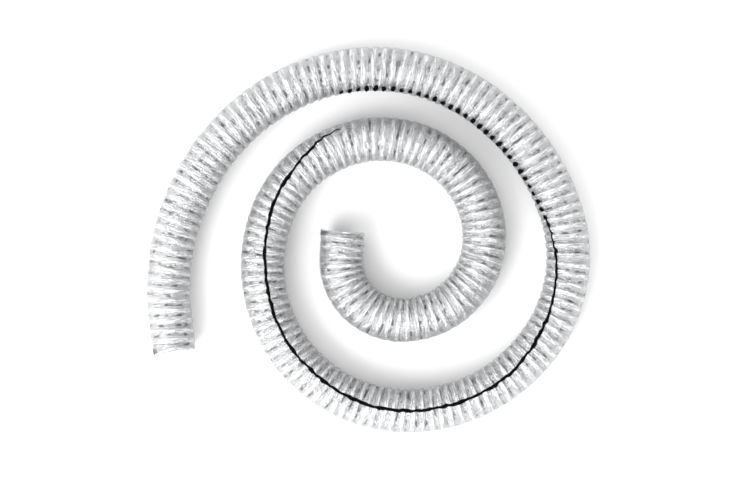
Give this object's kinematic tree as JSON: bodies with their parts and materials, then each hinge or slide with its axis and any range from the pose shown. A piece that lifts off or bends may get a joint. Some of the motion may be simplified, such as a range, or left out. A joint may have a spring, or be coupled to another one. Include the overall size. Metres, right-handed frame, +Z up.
{
  "type": "flexible air duct",
  "caption": "Flexible air duct with a spring-wire helix between an aluminised cloth wrap and a liner, laid on the floor as a spiral, open at both ends.",
  "frame": {"origin": "middle of the footprint, on the floor that the duct lies on", "axes": "+Z up, +X along the longest side of the footprint, so the outer end is at -X"},
  "size_m": [0.5512, 0.4798, 0.0566],
  "materials": {
    "wrap": "aluminised glass cloth, satin",
    "liner": "coated glass cloth",
    "wire": "drawn spring steel",
    "bead": "satin black sealing bead"
  },
  "bodies": {
    "length_1": {"outer_wrap_1": "wrap", "inner_liner_1": "liner", "wire_helix_1": "wire", "seam_bead_1": "bead"},
    "length_2": {"outer_wrap_2": "wrap", "inner_liner_2": "liner", "wire_helix_2": "wire", "seam_bead_2": "bead", "flex_wrap_1": "wrap", "flex_liner_1": "liner", "flex_wire_1": "wire", "flex_bead_1": "bead"},
    "length_3": {"outer_wrap_3": "wrap", "inner_liner_3": "liner", "wire_helix_3": "wire", "seam_bead_3": "bead", "flex_wrap_2": "wrap", "flex_liner_2": "liner", "flex_wire_2": "wire", "flex_bead_2": "bead"},
    "length_4": {"outer_wrap_4": "wrap", "inner_liner_4": "liner", "wire_helix_4": "wire", "seam_bead_4": "bead", "flex_wrap_3": "wrap", "flex_liner_3": "liner", "flex_wire_3": "wire", "flex_bead_3": "bead", "flex_wrap_4": "wrap", "flex_liner_4": "liner", "flex_wire_4": "wire", "flex_bead_4": "bead"},
    "length_5": {"outer_wrap_5": "wrap", "inner_liner_5": "liner", "wire_helix_5": "wire", "seam_bead_5": "bead", "flex_wrap_5": "wrap", "flex_liner_5": "liner", "flex_wire_5": "wire", "flex_bead_5": "bead"},
    "length_6": {"outer_wrap_6": "wrap", "inner_liner_6": "liner", "wire_helix_6": "wire", "seam_bead_6": "bead", "flex_wrap_6": "wrap", "flex_liner_6": "liner", "flex_wire_6": "wire", "flex_bead_6": "bead"},
    "length_7": {"outer_wrap_7": "wrap", "inner_liner_7": "liner", "wire_helix_7": "wire", "seam_bead_7": "bead"}
  },
  "joints": [
    {"name": "outer_end_bend", "type": "hinge", "parent": "length_2", "child": "length_1", "pos_m": [-0.19209, 0.10812, 0.0277], "axis": [0, 0, -1], "range_deg": [0, 70], "deforming": ["flex_wrap_1", "flex_liner_1", "flex_wire_1", "flex_bead_1"]},
    {"name": "outer_turn_lift", "type": "hinge", "parent": "length_3", "child": "length_2", "pos_m": [0.12911, 0.17653, 0.0277], "axis": [0.5336, 0.8458, 0], "range_deg": [0, 40], "deforming": ["flex_wrap_2", "flex_liner_2", "flex_wire_2", "flex_bead_2"]},
    {"name": "outer_side_bend", "type": "hinge", "parent": "length_4", "child": "length_3", "pos_m": [0.21294, -0.1272, 0.0277], "axis": [0, 0, -1], "range_deg": [0, 40], "deforming": ["flex_wrap_3", "flex_liner_3", "flex_wire_3", "flex_bead_3"]},
    {"name": "middle_bend", "type": "hinge", "parent": "length_4", "child": "length_5", "pos_m": [-0.09352, -0.1419, 0.0277], "axis": [0, 0, 1], "range_deg": [-10, 8], "deforming": ["flex_wrap_4", "flex_liner_4", "flex_wire_4", "flex_bead_4"]},
    {"name": "inner_turn_bend", "type": "hinge", "parent": "length_5", "child": "length_6", "pos_m": [0.01659, 0.12469, 0.0277], "axis": [0, 0, 1], "range_deg": [-10, 10], "deforming": ["flex_wrap_5", "flex_liner_5", "flex_wire_5", "flex_bead_5"]},
    {"name": "inner_end_lift", "type": "hinge", "parent": "length_6", "child": "length_7", "pos_m": [0.02777, -0.09792, 0.0277], "axis": [0.1875, 0.9823, 0], "range_deg": [0, 60], "deforming": ["flex_wrap_6", "flex_liner_6", "flex_wire_6", "flex_bead_6"]}
  ]
}
